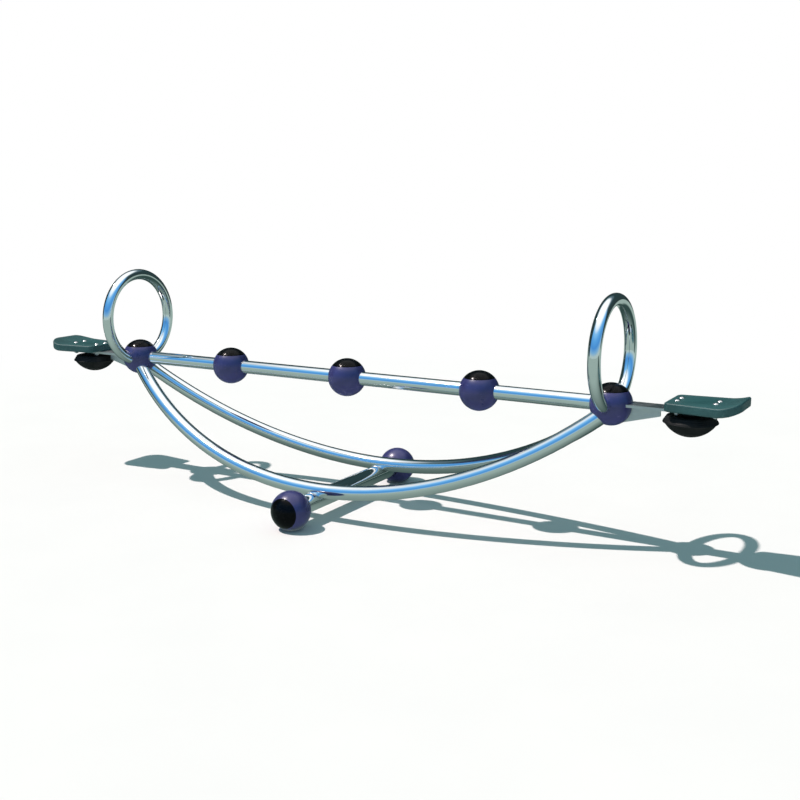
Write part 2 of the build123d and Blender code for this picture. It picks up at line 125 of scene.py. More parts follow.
# --- shader arithmetic -----------------------------------------------------
class Term:
    """A number that varies over a surface, used in ordinary arithmetic."""

    def __init__(self, nodes: FinishNodes, socket: bpy.types.NodeSocket) -> None:
        """Wraps a socket.

        Args:
            nodes: The node tree that the socket belongs to.
            socket: The output socket that carries the number.
        """
        self.nodes = nodes
        self.socket = socket

    def maths(self, operation: str, first: Term | float, second: Term | float) -> Term:
        """Adds one Math node.

        Args:
            operation: The node's operation.
            first: Its first value.
            second: Its second value.

        Returns:
            The node's result.
        """
        made = self.nodes.node("ShaderNodeMath", {"operation": operation}, {0: first, 1: second})
        return Term(self.nodes, made.outputs[0])

    def __add__(self, other: Term | float) -> Term:
        """The sum of two numbers."""
        return self.maths("ADD", self, other)

    __radd__ = __add__

    def __sub__(self, other: Term | float) -> Term:
        """This number less another."""
        return self.maths("SUBTRACT", self, other)

    def __rsub__(self, other: Term | float) -> Term:
        """Another number less this one."""
        return self.maths("SUBTRACT", other, self)

    def __mul__(self, other: Term | float) -> Term:
        """The product of two numbers."""
        return self.maths("MULTIPLY", self, other)

    __rmul__ = __mul__

    def __pow__(self, other: Term | float) -> Term:
        """This number to a power."""
        return self.maths("POWER", self, other)

    def __abs__(self) -> Term:
        """This number without its sign."""
        return self.maths("ABSOLUTE", self, 0.0)

    def ease(self, low: float, high: float) -> Term:
        """Turns this number into a soft mask.

        Args:
            low: The value where the mask is 0.
            high: The value where the mask is 1.

        Returns:
            A mask from 0 to 1.
        """
        made = self.nodes.node(
            "ShaderNodeMapRange",
            {"interpolation_type": "SMOOTHSTEP"},
            {"Value": self, "From Min": low, "From Max": high},
        )
        return Term(self.nodes, made.outputs["Result"])


class FinishNodes:
    """The node tree of one material or of the room, filled by short calls."""

    def __init__(self, name: str, world: bpy.types.World | None = None) -> None:
        """Starts an empty material, or empties the room's tree.

        Args:
            name: The material's name, unused for a room.
            world: The room, when the nodes are its own.
        """
        self.owner = world or bpy.data.materials.new(name)
        self.owner.use_nodes = True
        self.tree = self.owner.node_tree
        self.tree.nodes.clear()

    def node(
        self, kind: str, settings: dict | None = None, inputs: dict | None = None
    ) -> bpy.types.Node:
        """Adds a node.

        Args:
            kind: The node's type.
            settings: Its own settings, set before its sockets; "stops" fills a colour ramp.
            inputs: Values or links for its sockets, by name or number.

        Returns:
            The new node.
        """
        made = self.tree.nodes.new(kind)
        for key, value in (settings or {}).items():
            if key == "stops":
                self.fill_ramp(made.color_ramp, value)
            else:
                setattr(made, key, value)
        for key, value in (inputs or {}).items():
            if isinstance(value, Term):
                value = value.socket
            if isinstance(value, bpy.types.NodeSocket):
                self.tree.links.new(value, made.inputs[key])
            elif made.inputs[key].type == "RGBA":
                made.inputs[key].default_value = (*value, 1.0)
            else:
                made.inputs[key].default_value = value
        return made

    @staticmethod
    def fill_ramp(ramp: bpy.types.ColorRamp, stops: Sky) -> None:
        """Sets a colour ramp's stops.

        Args:
            ramp: The ramp.
            stops: Pairs of place and colour, in order.
        """
        while len(ramp.elements) < len(stops):
            ramp.elements.new(0.5)
        for element, (place, colour) in zip(ramp.elements, stops):
            element.position = place
            element.color = (*colour, 1.0)

    def place(self, stretch: Triple = EVEN) -> bpy.types.NodeSocket:
        """Where a point lies on the piece.

        Args:
            stretch: How many times finer the pattern is along each axis.

        Returns:
            The point, for a texture's Vector socket.
        """
        point = self.node("ShaderNodeTexCoord").outputs["Object"]
        if stretch == EVEN:
            return point
        return self.node("ShaderNodeMapping", None, {"Vector": point, "Scale": stretch}).outputs[0]

    def share(self, vector: bpy.types.NodeSocket, axis: int) -> Term:
        """A vector's size along one axis."""
        split = self.node("ShaderNodeSeparateXYZ", None, {"Vector": vector})
        return Term(self, split.outputs[axis])

    def along(self, axis: int) -> Term:
        """A point's place along one axis, in metres."""
        return self.share(self.place(), axis)

    def facing_up(self) -> Term:
        """How far the surface faces upwards, from -1 to 1."""
        return self.share(self.node("ShaderNodeTexCoord").outputs["Normal"], 2)

    def noise(
        self, point: bpy.types.NodeSocket, scale: float, detail: float = 3.0, warp: float = 0.0
    ) -> Term:
        """Soft random variation.

        Args:
            point: Where to read it.
            scale: How many lumps there are to the metre.
            detail: How many finer layers it has.
            warp: How twisted it is.

        Returns:
            A number round 0.5.
        """
        made = self.node(
            "ShaderNodeTexNoise",
            None,
            {"Vector": point, "Scale": scale, "Detail": detail, "Distortion": warp},
        )
        return Term(self, made.outputs[0])

    def blend(
        self,
        mask: Term | float,
        low: Colour | bpy.types.NodeSocket,
        high: Colour | bpy.types.NodeSocket,
    ) -> bpy.types.NodeSocket:
        """Mixes two colours.

        Args:
            mask: 0 for the first colour and 1 for the second.
            low: The first colour.
            high: The second colour.

        Returns:
            The mixed colour.
        """
        made = self.node("ShaderNodeMix", {"data_type": "RGBA"}, {0: mask, 6: low, 7: high})
        return made.outputs[2]

    def either(
        self,
        mask: Term | bpy.types.NodeSocket,
        low: bpy.types.NodeSocket,
        high: bpy.types.NodeSocket,
    ) -> bpy.types.NodeSocket:
        """Mixes two shaders.

        Args:
            mask: 0 for the first shader and 1 for the second.
            low: The first shader.
            high: The second shader.

        Returns:
            The mixed shader.
        """
        return self.node("ShaderNodeMixShader", None, {0: mask, 1: low, 2: high}).outputs[0]

    def shining(
        self, kind: str, colour: Colour | bpy.types.NodeSocket, strength: float = 1.0
    ) -> bpy.types.NodeSocket:
        """Makes a shader that gives off light.

        Args:
            kind: The node's type, for a surface or for the room.
            colour: The light's colour.
            strength: How strong it is.

        Returns:
            The shader.
        """
        return self.node(kind, None, {"Color": colour, "Strength": strength}).outputs[0]

    def seen_by(self, ray: str) -> bpy.types.NodeSocket:
        """Whether a kind of ray, such as "Is Glossy Ray", is looking."""
        return self.node("ShaderNodeLightPath").outputs[ray]

    def bump(self, height: Term, depth: float) -> bpy.types.NodeSocket:
        """Raises the surface by a height from 0 to 1.

        Args:
            height: The height.
            depth: How many metres a height of 1 stands up.

        Returns:
            The bumped normal.
        """
        made = self.node(
            "ShaderNodeBump", None, {"Strength": 1.0, "Distance": depth, "Height": height}
        )
        return made.outputs["Normal"]

    def done(self, surface: dict) -> bpy.types.Material:
        """Closes the tree with one Principled shader.

        Args:
            surface: The shader's sockets.

        Returns:
            The finished material.
        """
        shader = self.node("ShaderNodeBsdfPrincipled", None, surface)
        self.node("ShaderNodeOutputMaterial", None, {"Surface": shader.outputs["BSDF"]})
        return self.owner


def shade(colour: Colour, factor: float) -> Colour:
    """A colour made darker or lighter by a factor."""
    return (colour[0] * factor, colour[1] * factor, colour[2] * factor)


# --- finishes --------------------------------------------------------------
@dataclass(frozen=True)
class PolishedSteel:
    """Mirror-polished stainless tube, with faint handling haze."""

    name: str = "polished_steel"
    colour: Colour = (0.86, 0.88, 0.89)
    roughness: float = 0.045
    haze: float = 0.05
    ripple: float = 0.00010

    def material(self) -> bpy.types.Material:
        """Makes the material.

        Returns:
            The finish, ready for a piece.
        """
        nodes = FinishNodes(self.name)
        place = nodes.place()
        haze = nodes.noise(place, 5.0, 5.0, 0.6).ease(0.52, 0.74)
        prints = nodes.noise(place, 38.0, 4.0).ease(0.60, 0.72) * 0.45
        lines = nodes.noise(nodes.place((2.0, 30.0, 30.0)), 40.0, 2.0)
        rough = self.roughness + haze * self.haze + prints * haze * 0.10 + lines * 0.018
        tone = nodes.blend(haze * 0.55, self.colour, shade(self.colour, 0.90))
        swell = nodes.noise(place, 3.2, 1.0) * 0.8 + nodes.noise(place, 420.0, 2.0) * 0.02
        return nodes.done(
            {
                "Base Color": tone,
                "Metallic": 1.0,
                "Roughness": rough,
                "Normal": nodes.bump(swell, self.ripple),
            }
        )


@dataclass(frozen=True)
class WeldSteel:
    """Ground-back weld bead with a rippled surface."""

    name: str = "weld_steel"
    colour: Colour = (0.62, 0.62, 0.61)

    def material(self) -> bpy.types.Material:
        """Makes the material.

        Returns:
            The finish, ready for a piece.
        """
        nodes = FinishNodes(self.name)
        ripple = nodes.noise(nodes.place(), 260.0, 2.0, 0.5)
        tone = nodes.blend(ripple.ease(0.35, 0.7), shade(self.colour, 0.6), self.colour)
        return nodes.done(
            {
                "Base Color": tone,
                "Metallic": 1.0,
                "Roughness": 0.26 + ripple * 0.2,
                "Normal": nodes.bump(ripple, 0.0009),
            }
        )


@dataclass(frozen=True)
class BallPlastic:
    """Violet-blue moulded skin with a fine grain and a closed parting line."""

    name: str
    seam_axis: int
    seam_at: float
    colour: Colour = (0.037, 0.039, 0.155)
    roughness: float = 0.27
    coat: float = 0.12
    seam_width: tuple[float, float] = (0.0004, 0.0011)

    def material(self) -> bpy.types.Material:
        """Makes the material.

        Returns:
            The finish, ready for a piece.
        """
        nodes = FinishNodes(self.name)
        place = nodes.place()
        cloud = nodes.noise(place, 11.0, 4.0).ease(0.3, 0.7)
        scuff = nodes.noise(nodes.place((1.0, 1.0, 2.6)), 46.0, 6.0, 0.9).ease(0.64, 0.72)
        dust = nodes.facing_up().ease(0.35, 1.0) * nodes.noise(place, 60.0, 4.0).ease(0.35, 0.75)
        base = nodes.blend(cloud, shade(self.colour, 0.86), shade(self.colour, 1.08))
        worn = nodes.blend(scuff * 0.22, base, (0.20, 0.19, 0.42))
        dusty = nodes.blend(dust * 0.06, worn, (0.42, 0.42, 0.46))
        grain = nodes.noise(place, 620.0, 2.0)
        seam = abs(nodes.along(self.seam_axis) - self.seam_at).ease(*self.seam_width)
        height = grain * 0.10 + seam * 0.9 - scuff * 0.10
        return nodes.done(
            {
                "Base Color": dusty,
                "Roughness": self.roughness + cloud * 0.05 + scuff * 0.22 + dust * 0.12,
                "Coat Weight": self.coat,
                "Coat Roughness": 0.16,
                "Normal": nodes.bump(height, 0.0005),
            }
        )


@dataclass(frozen=True)
class CapPlastic:
    """Gloss black moulded cap with hairline scratches and a little dust."""

    name: str = "cap_plastic"
    colour: Colour = (0.0012, 0.0013, 0.0020)
    roughness: float = 0.13

    def material(self) -> bpy.types.Material:
        """Makes the material.

        Returns:
            The finish, ready for a piece.
        """
        nodes = FinishNodes(self.name)
        place = nodes.place()
        hair = nodes.noise(nodes.place((1.0, 9.0, 3.0)), 90.0, 5.0, 1.6).ease(0.61, 0.66)
        dust = nodes.facing_up().ease(0.5, 1.0) * nodes.noise(place, 85.0, 5.0).ease(0.42, 0.72)
        tone = nodes.blend(hair * 0.05 + dust * 0.018, self.colour, (0.30, 0.31, 0.33))
        grain = nodes.noise(place, 700.0, 2.0)
        return nodes.done(
            {
                "Base Color": tone,
                "Roughness": self.roughness + hair * 0.25 + dust * 0.20,
                "Specular IOR Level": 0.10,
                "Normal": nodes.bump(grain * 0.08 - hair * 0.15, 0.0004),
            }
        )


@dataclass(frozen=True)
class SeatPlastic:
    """Dark teal polyethylene board: pebbled, with a smoother seated patch."""

    name: str = "seat_plastic"
    colour: Colour = (0.016, 0.078, 0.080)
    middle_x: float = 1.49
    half_width: float = 0.122

    def material(self) -> bpy.types.Material:
        """Makes the material.

        Returns:
            The finish, ready for a piece.
        """
        nodes = FinishNodes(self.name)
        place = nodes.place()
        cloud = nodes.noise(place, 9.0, 5.0, 0.4).ease(0.28, 0.72)
        pebble = nodes.noise(place, 520.0, 2.0)
        across = abs(nodes.along(1))
        beyond = abs(abs(nodes.along(0)) - self.middle_x)
        patch = (1.0 - across.ease(0.03, 0.11)) * (1.0 - beyond.ease(0.02, 0.10))
        rub = patch * nodes.facing_up().ease(0.6, 0.95)
        scratch = nodes.noise(nodes.place((1.0, 7.0, 1.0)), 42.0, 6.0, 1.2).ease(0.62, 0.67)
        edge = across.ease(0.085, self.half_width) * nodes.noise(place, 70.0, 4.0).ease(0.4, 0.7)
        base = nodes.blend(cloud, shade(self.colour, 0.82), shade(self.colour, 1.14))
        marked = nodes.blend(scratch * 0.20 + edge * 0.10, base, (0.12, 0.27, 0.26))
        worn = nodes.blend(rub * 0.18, marked, shade(self.colour, 1.7))
        return nodes.done(
            {
                "Base Color": worn,
                "Roughness": 0.50 - rub * 0.14 + scratch * 0.12 + cloud * 0.05,
                "Normal": nodes.bump(pebble * (1.0 - rub * 0.6) * 0.55 - scratch * 0.2, 0.0006),
            }
        )


@dataclass(frozen=True)
class BumperRubber:
    """Black moulded rubber, greyed where it strikes the ground."""

    name: str = "bumper_rubber"
    colour: Colour = (0.0050, 0.0060, 0.0060)
    strike_low: float = 0.458
    strike_high: float = 0.482

    def material(self) -> bpy.types.Material:
        """Makes the material.

        Returns:
            The finish, ready for a piece.
        """
        nodes = FinishNodes(self.name)
        place = nodes.place()
        bloom = nodes.noise(place, 16.0, 5.0, 0.5).ease(0.35, 0.75)
        speck = nodes.noise(place, 340.0, 3.0)
        strike = 1.0 - nodes.along(2).ease(self.strike_low, self.strike_high)
        grit = strike * nodes.noise(place, 95.0, 6.0).ease(0.40, 0.66)
        base = nodes.blend(bloom * 0.5, self.colour, (0.020, 0.021, 0.022))
        tone = nodes.blend(grit * 0.55, base, (0.14, 0.14, 0.135))
        return nodes.done(
            {
                "Base Color": tone,
                "Roughness": 0.60 + bloom * 0.14 + grit * 0.18,
                "Specular IOR Level": 0.22,
                "Normal": nodes.bump(speck * 0.35 - grit * 0.4, 0.0007),
            }
        )


@dataclass(frozen=True)
class GrainedMetal:
    """Metal with a directional or even grain, for plate, bar, castings and fasteners."""

    name: str
    colour: Colour
    roughness: float
    stretch: Triple = EVEN
    grain: float = 300.0
    depth: float = 0.0003
    tint: Colour = (0.5, 0.5, 0.5)
    tint_share: float = 0.25

    def material(self) -> bpy.types.Material:
        """Makes the material.

        Returns:
            The finish, ready for a piece.
        """
        nodes = FinishNodes(self.name)
        fine = nodes.noise(nodes.place(self.stretch), self.grain, 4.0)
        patch = nodes.noise(nodes.place(), 24.0, 5.0, 0.7).ease(0.35, 0.72)
        tone = nodes.blend(patch * self.tint_share, self.colour, self.tint)
        streaked = nodes.blend(fine.ease(0.3, 0.75) * 0.3, tone, shade(self.colour, 0.7))
        return nodes.done(
            {
                "Base Color": streaked,
                "Metallic": 1.0,
                "Roughness": self.roughness + fine * 0.14 + patch * 0.06,
                "Normal": nodes.bump(fine, self.depth),
            }
        )


@dataclass(frozen=True)
class DullCoating:
    """Plain non-metal surface with fine grain: primer, acetal or extruded rubber."""

    name: str
    colour: Colour
    roughness: float
    grain: float = 240.0
    stretch: Triple = EVEN

    def material(self) -> bpy.types.Material:
        """Makes the material.

        Returns:
            The finish, ready for a piece.
        """
        nodes = FinishNodes(self.name)
        fine = nodes.noise(nodes.place(self.stretch), self.grain, 4.0)
        patch = nodes.noise(nodes.place(), 18.0, 5.0, 0.4).ease(0.3, 0.75)
        tone = nodes.blend(patch * 0.45, self.colour, shade(self.colour, 0.72))
        return nodes.done(
            {
                "Base Color": tone,
                "Roughness": self.roughness + fine * 0.12,
                "Normal": nodes.bump(fine, 0.0003),
            }
        )


# --- pieces ----------------------------------------------------------------
@dataclass
class Kit:
    """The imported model's nodes, and the calls that dress them or stand in for them."""

    frame: dict

    def dress(self, material: bpy.types.Material, *nodes: str) -> None:
        """Gives model nodes a finish.

        Args:
            material: The finish.
            *nodes: The nodes' names.
        """
        for name in nodes:
            node = self.frame["nodes"][name]
            for slot in node.material_slots:
                slot.material = material
            LOG.info("dressed %s in %s", name, material.name)

    def add(
        self,
        name: str,
        shape: bmesh.types.BMesh,
        material: bpy.types.Material,
        body: Body,
        slot: str,
        instead_of: tuple[str, ...] = (),
    ) -> bpy.types.Object:
        """Turns a finished bmesh into a piece of the seesaw.

        Args:
            name: The piece's name.
            shape: Its shape, already in place.
            material: Its finish.
            body: The body it rides.
            slot: A material slot of the record; not used.
            instead_of: Model nodes that it stands for.

        Returns:
            The piece.
        """
        mesh = bpy.data.meshes.new(name)
        shape.to_mesh(mesh)
        shape.free()
        mesh.set_sharp_from_angle(angle=SMOOTH_UP_TO)
        mesh.materials.append(material)
        piece = bpy.data.objects.new(name, mesh)
        bpy.context.scene.collection.objects.link(piece)
        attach(piece, body.value)
        if instead_of:
            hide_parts(*instead_of)
        LOG.info("made %s, %d faces", name, len(mesh.polygons))
        return piece


def smoothed(shape: bmesh.types.BMesh) -> bmesh.types.BMesh:
    """Turns a closed shape's faces outwards and shades them smooth.

    Args:
        shape: The shape, with its doubles merged.

    Returns:
        The same shape.
    """
    bmesh.ops.recalc_face_normals(shape, faces=shape.faces)
    for face in shape.faces:
        face.smooth = True
    return shape


def turned(profile: Profile, steps: int) -> bmesh.types.BMesh:
    """Spins a closed profile once round the Z axis.

    Args:
        profile: Points of radius and height, from the axis round to the axis.
        steps: How many facets go round.

    Returns:
        The turned shape, closed, with its faces outwards and shaded smooth.
    """
    shape = bmesh.new()
    corners = [shape.verts.new((radius, 0.0, height)) for radius, height in profile]
    edges = [shape.edges.new(pair) for pair in zip(corners, corners[1:])]
    bmesh.ops.spin(
        shape,
        geom=corners + edges,
        cent=(0.0, 0.0, 0.0),
        axis=UP,
        angle=math.tau,
        steps=steps,
        use_merge=True,
        use_duplicate=False,
    )
    bmesh.ops.remove_doubles(shape, verts=shape.verts, dist=SAME_POINT)
    bmesh.ops.dissolve_degenerate(shape, dist=NO_LENGTH, edges=shape.edges)
    return smoothed(shape)


def bend(
    centre: tuple[float, float], radius: float, start: float, end: float, count: int
) -> Profile:
    """Points along an arc of a profile.

    Args:
        centre: The arc's centre, as radius and height.
        radius: The arc's radius.
        start: Its first angle in degrees, from the outward direction up.
        end: Its last angle in degrees.
        count: How many points it has.

    Returns:
        The points, in order.
    """
    points = []
    for index in range(count):
        angle = math.radians(start + (end - start) * index / (count - 1))
        points.append((centre[0] + radius * math.cos(angle), centre[1] + radius * math.sin(angle)))
    return points


@dataclass
class Ball:
    """A ball of the seesaw: its moulded skin and its domed cap.

    The corners of the cap's rim are in rims inwards and upwards from its edge, and the rim's
    turn is in degrees. The dimple's steps are shares of its radius.
    """

    name: str
    centre: Vector
    outward: Vector
    body: Body
    radius: float = 0.080
    cap_plane: float = 0.0513
    rim: float = 0.0009
    rim_corners: tuple[tuple[float, float], ...] = ((2.5, 0.0), (0.8, 0.2))
    rim_turn: float = 1.0
    dimple_radius: float = 0.0060
    dimple_steps: tuple[float, float] = (0.82, 0.4)
    dimple_depth: float = 0.0008
    dimple_slope: float = 0.0001
    dome_points: int = 26
    facets: int = 96

    def cap_profile(self) -> Profile:
        """Works out the cap's section.

        Returns:
            Its points, from its flat underside round its dome to the dimple at its top.
        """
        start = math.degrees(math.asin(self.cap_plane / self.radius))
        edge = self.radius * math.cos(math.radians(start))
        rise = math.degrees(self.dimple_radius / self.radius)
        rim = [
            (edge - inwards * self.rim, self.cap_plane + upwards * self.rim)
            for inwards, upwards in self.rim_corners
        ]
        dome = bend((0.0, 0.0), self.radius, start + self.rim_turn, 90.0 - rise, self.dome_points)
        wall, flat = (self.dimple_radius * step for step in self.dimple_steps)
        floor = self.radius - self.dimple_depth
        return [
            (0.0, self.cap_plane),
            *rim,
            *dome,
            (wall, floor + self.dimple_slope),
            (flat, floor),
            (0.0, floor),
        ]

    def build(self, kit: Kit, cap: bpy.types.Material, skin: bpy.types.Material) -> None:
        """Makes the cap and dresses the skin.

        Args:
            kit: The model.
            cap: The cap's finish.
            skin: The skin's finish.
        """
        shape = turned(self.cap_profile(), self.facets)
        turn = UP.rotation_difference(self.outward).to_matrix().to_4x4()
        place = Matrix.Translation(self.centre) @ turn
        bmesh.ops.transform(shape, matrix=place, verts=shape.verts)
        node = f"{self.name}_cap"
        kit.add(f"{node}_dome", shape, cap, self.body, "ball_cap", (node,))
        kit.dress(skin, f"{self.name}_skin")


@dataclass
class BallSet:
    """The seven balls: five on the beam and two on the ground."""

    between: tuple[str, ...] = ("left_ball", "centre_ball", "right_ball")
    hubs: tuple[str, ...] = ("left_hub", "right_hub")

    def on_beam(self, name: str) -> Ball:
        """Places one ball on the beam from its cap's node.

        Args:
            name: The ball's name.

        Returns:
            The ball.
        """
        low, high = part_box(f"{name}_cap")
        centre = Vector(((low[0] + high[0]) / 2.0, 0.0, high[2] - Ball.radius))
        return Ball(name, centre, UP, Body.ROCKER)

    def on_ground(self, side: Side) -> Ball:
        """Places one pivot ball from its cap's node.

        Args:
            side: The ball's side.

        Returns:
            The ball.
        """
        name = f"{side.word}_pivot"
        low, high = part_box(f"{name}_cap")
        edge = low[1] if side is Side.FRONT else high[1]
        centre = Vector((0.0, edge - side.value * Ball.radius, (low[2] + high[2]) / 2.0))
        return Ball(name, centre, Vector((0.0, float(side.value), 0.0)), Body.BASE)

    def build(self, kit: Kit, finishes: Finishes) -> None:
        """Makes the caps, and dresses the skins and what the beam's balls hold.

        Args:
            kit: The model.
            finishes: Finishes by the record's material slot.
        """
        cap = CapPlastic().material()
        skin = BallPlastic("ball_plastic", 2, BEAM_Z).material()
        for name in self.between + self.hubs:
            self.on_beam(name).build(kit, cap, skin)
        for side in Side:
            seam_at = side.value * PIVOT_Y
            skin = BallPlastic(f"{side.word}_ball_plastic", 1, seam_at).material()
            self.on_ground(side).build(kit, cap, skin)
        for name in self.between:
            kit.dress(finishes["cast_core"], f"{name}_core")
            kit.dress(finishes["fasteners"], f"{name}_screw")


@dataclass
class Tubework:
    """Beam, arc tubes, cross tube and hand rings, with the welds that join them."""

    arc_radius: float = 0.03015
    arc_low_y: float = 0.252
    arc_low_z: float = 0.122
    cross_radius: float = 0.038
    axle_z: float = 0.076
    bead: float = 0.0034
    saddle_steps: int = 8

    def saddle(self, side: Side) -> list[Vector]:
        """Points round the saddle where one arc tube sits on the cross tube.

        Args:
            side: The tube's side.

        Returns:
            The points of one closed loop.
        """
        lean = side.value * self.arc_low_y
        crown = self.axle_z + self.cross_radius
        limit = math.acos((self.arc_low_z - crown) / self.arc_radius)
        loop = []
        for way in (1, -1):
            for index in range(2 * self.saddle_steps):
                angle = way * limit * (index / self.saddle_steps - 1.0)
                across = lean + self.arc_radius * math.sin(angle)
                height = self.arc_low_z - self.arc_radius * math.cos(angle)
                drop = self.cross_radius**2 - (height - self.axle_z) ** 2
                loop.append(Vector((way * math.sqrt(max(drop, 0.0)), across, height)))
        return loop

    def weld(self, kit: Kit, side: Side, material: bpy.types.Material) -> None:
        """Makes the weld bead round one saddle.

        Args:
            kit: The model.
            side: The tube's side.
            material: The bead's finish.
        """
        name = f"{side.word}_saddle_weld"
        line = bpy.data.curves.new(f"{name}_line", "CURVE")
        line.dimensions = "3D"
        line.bevel_depth = self.bead
        line.bevel_resolution = 3
        line.resolution_u = 4
        spline = line.splines.new("NURBS")
        points = self.saddle(side)
        spline.points.add(len(points) - 1)
        for point, place in zip(spline.points, points):
            point.co = (*place, 1.0)
        spline.use_cyclic_u = True
        spline.order_u = 3
        holder = bpy.data.objects.new(f"{name}_line", line)
        bpy.context.scene.collection.objects.link(holder)
        bpy.context.view_layer.update()
        mesh = bpy.data.meshes.new_from_object(holder)
        shape = bmesh.new()
        shape.from_mesh(mesh)
        bpy.data.objects.remove(holder)
        bpy.data.meshes.remove(mesh)
        bmesh.ops.remove_doubles(shape, verts=shape.verts, dist=SAME_POINT)
        kit.add(name, smoothed(shape), material, Body.ROCKER, "polished_tube")

    def build(self, kit: Kit) -> None:
        """Dresses the tubes and makes their welds.

        Args:
            kit: The model.
        """
        steel = PolishedSteel().material()
        kit.dress(steel, "beam_tube", "front_arc_tube", "rear_arc_tube", "cross_tube")
        kit.dress(steel, "left_hand_ring", "right_hand_ring")
        bead = WeldSteel().material()
        for side in Side:
            self.weld(kit, side, bead)


@dataclass
class SeatEnd:
    """One end of the rocker: seat, arm, bumper and their fasteners.

    The bumper's heights are measured down from its boss. The lip's turn is in degrees.
    """

    end: End
    bumper_x: float = 1.447
    gap: float = 0.0001
    boss_radius: float = 0.034
    boss_bevel: float = 0.003
    top_radius: float = 0.084
    top_inset: float = 0.004
    lip_radius: float = 0.098
    dome_radius: float = 0.090
    top: float = 0.013
    lip_top: float = 0.034
    dome_top: float = 0.042
    bottom: float = 0.090
    ridges: int = 3
    ridge_points: int = 4
    ridge_height: float = 0.0010
    flare_inset: float = 0.0011
    lip_round: float = 0.002
    lip_turn: float = 80.0
    lip_points: int = 7
    dome_edge: tuple[float, float] = (0.002, 0.0015)
    dome_points: int = 22
    facets: int = 112

    def bumper_profile(self) -> Profile:
        """Works out the bumper's section.

        Returns:
            Its points, from its boss down its ribbed flare and round its lip to its foot.
        """
        drop = self.bottom - self.dome_top
        sphere = (self.dome_radius**2 + drop**2) / (2.0 * drop)
        start = -math.degrees(math.asin((sphere - drop) / sphere))
        flare = []
        points = self.ridges * self.ridge_points
        for index in range(points + 1):
            share = index / points
            swell = self.ridge_height * math.sin(math.pi * share * self.ridges) ** 2
            radius = self.top_radius + (self.lip_radius - self.top_radius) * share
            height = -self.top - (self.lip_top - self.top) * share
            flare.append((radius - self.flare_inset + swell, height))
        lip = (self.lip_radius - self.lip_round, -self.lip_top - self.lip_round)
        dome = bend((0.0, sphere - self.bottom), sphere, start, -90.0, self.dome_points)
        return [
            (0.0, 0.0),
            (self.boss_radius, 0.0),
            (self.boss_radius, -self.top + self.boss_bevel),
            (self.boss_radius + self.boss_bevel, -self.top),
            (self.top_radius - self.top_inset, -self.top),
            *flare,
            *bend(lip, self.lip_round, self.lip_turn, -self.lip_turn, self.lip_points),
            (self.dome_radius + self.dome_edge[0], -self.dome_top + self.dome_edge[1]),
            *dome,
        ]

    def build(self, kit: Kit, finishes: Finishes) -> None:
        """Makes the bumper and dresses the rest.

        Args:
            kit: The model.
            finishes: Finishes by the record's material slot.
        """
        word = self.end.word
        shape = turned(self.bumper_profile(), self.facets)
        place = Vector((self.end.value * self.bumper_x, 0.0, BEAM_Z - self.gap))
        bmesh.ops.translate(shape, vec=place, verts=shape.verts)
        kit.add(
            f"{word}_bumper_buffer",
            shape,
            finishes["bumper_rubber"],
            Body.ROCKER,
            "bumper_rubber",
            (f"{word}_bumper",),
        )
        kit.dress(finishes["seat_board"], f"{word}_seat")
        kit.dress(finishes["arm_plate"], f"{word}_seat_arm")
        kit.dress(
            finishes["fasteners"],
            f"{word}_seat_bolts",
            f"{word}_underseat_nuts",
            f"{word}_bumper_stud",
            f"{word}_arm_screws",
            f"{word}_beam_set_screw",
        )
        kit.dress(finishes["cast_core"], f"{word}_hub_core")


class TorsionAxle:
    """What lies inside the cross tube and the pivot balls."""

    def build(self, kit: Kit, finishes: Finishes) -> None:
        """Dresses the axle's pieces.

        Args:
            kit: The model.
            finishes: Finishes by the record's material slot.
        """
        kit.dress(finishes["axle_steel"], "torsion_axle")
        kit.dress(finishes["housing_steel"], "torsion_housing")
        kit.dress(finishes["torsion_rubber"], "rubber_cords")
        kit.dress(finishes["bush_polymer"], "end_bushes")
        kit.dress(finishes["fasteners"], "axle_nuts", "axle_washers", "ground_inserts")
        kit.dress(finishes["cast_core"], "front_pivot_core", "rear_pivot_core")


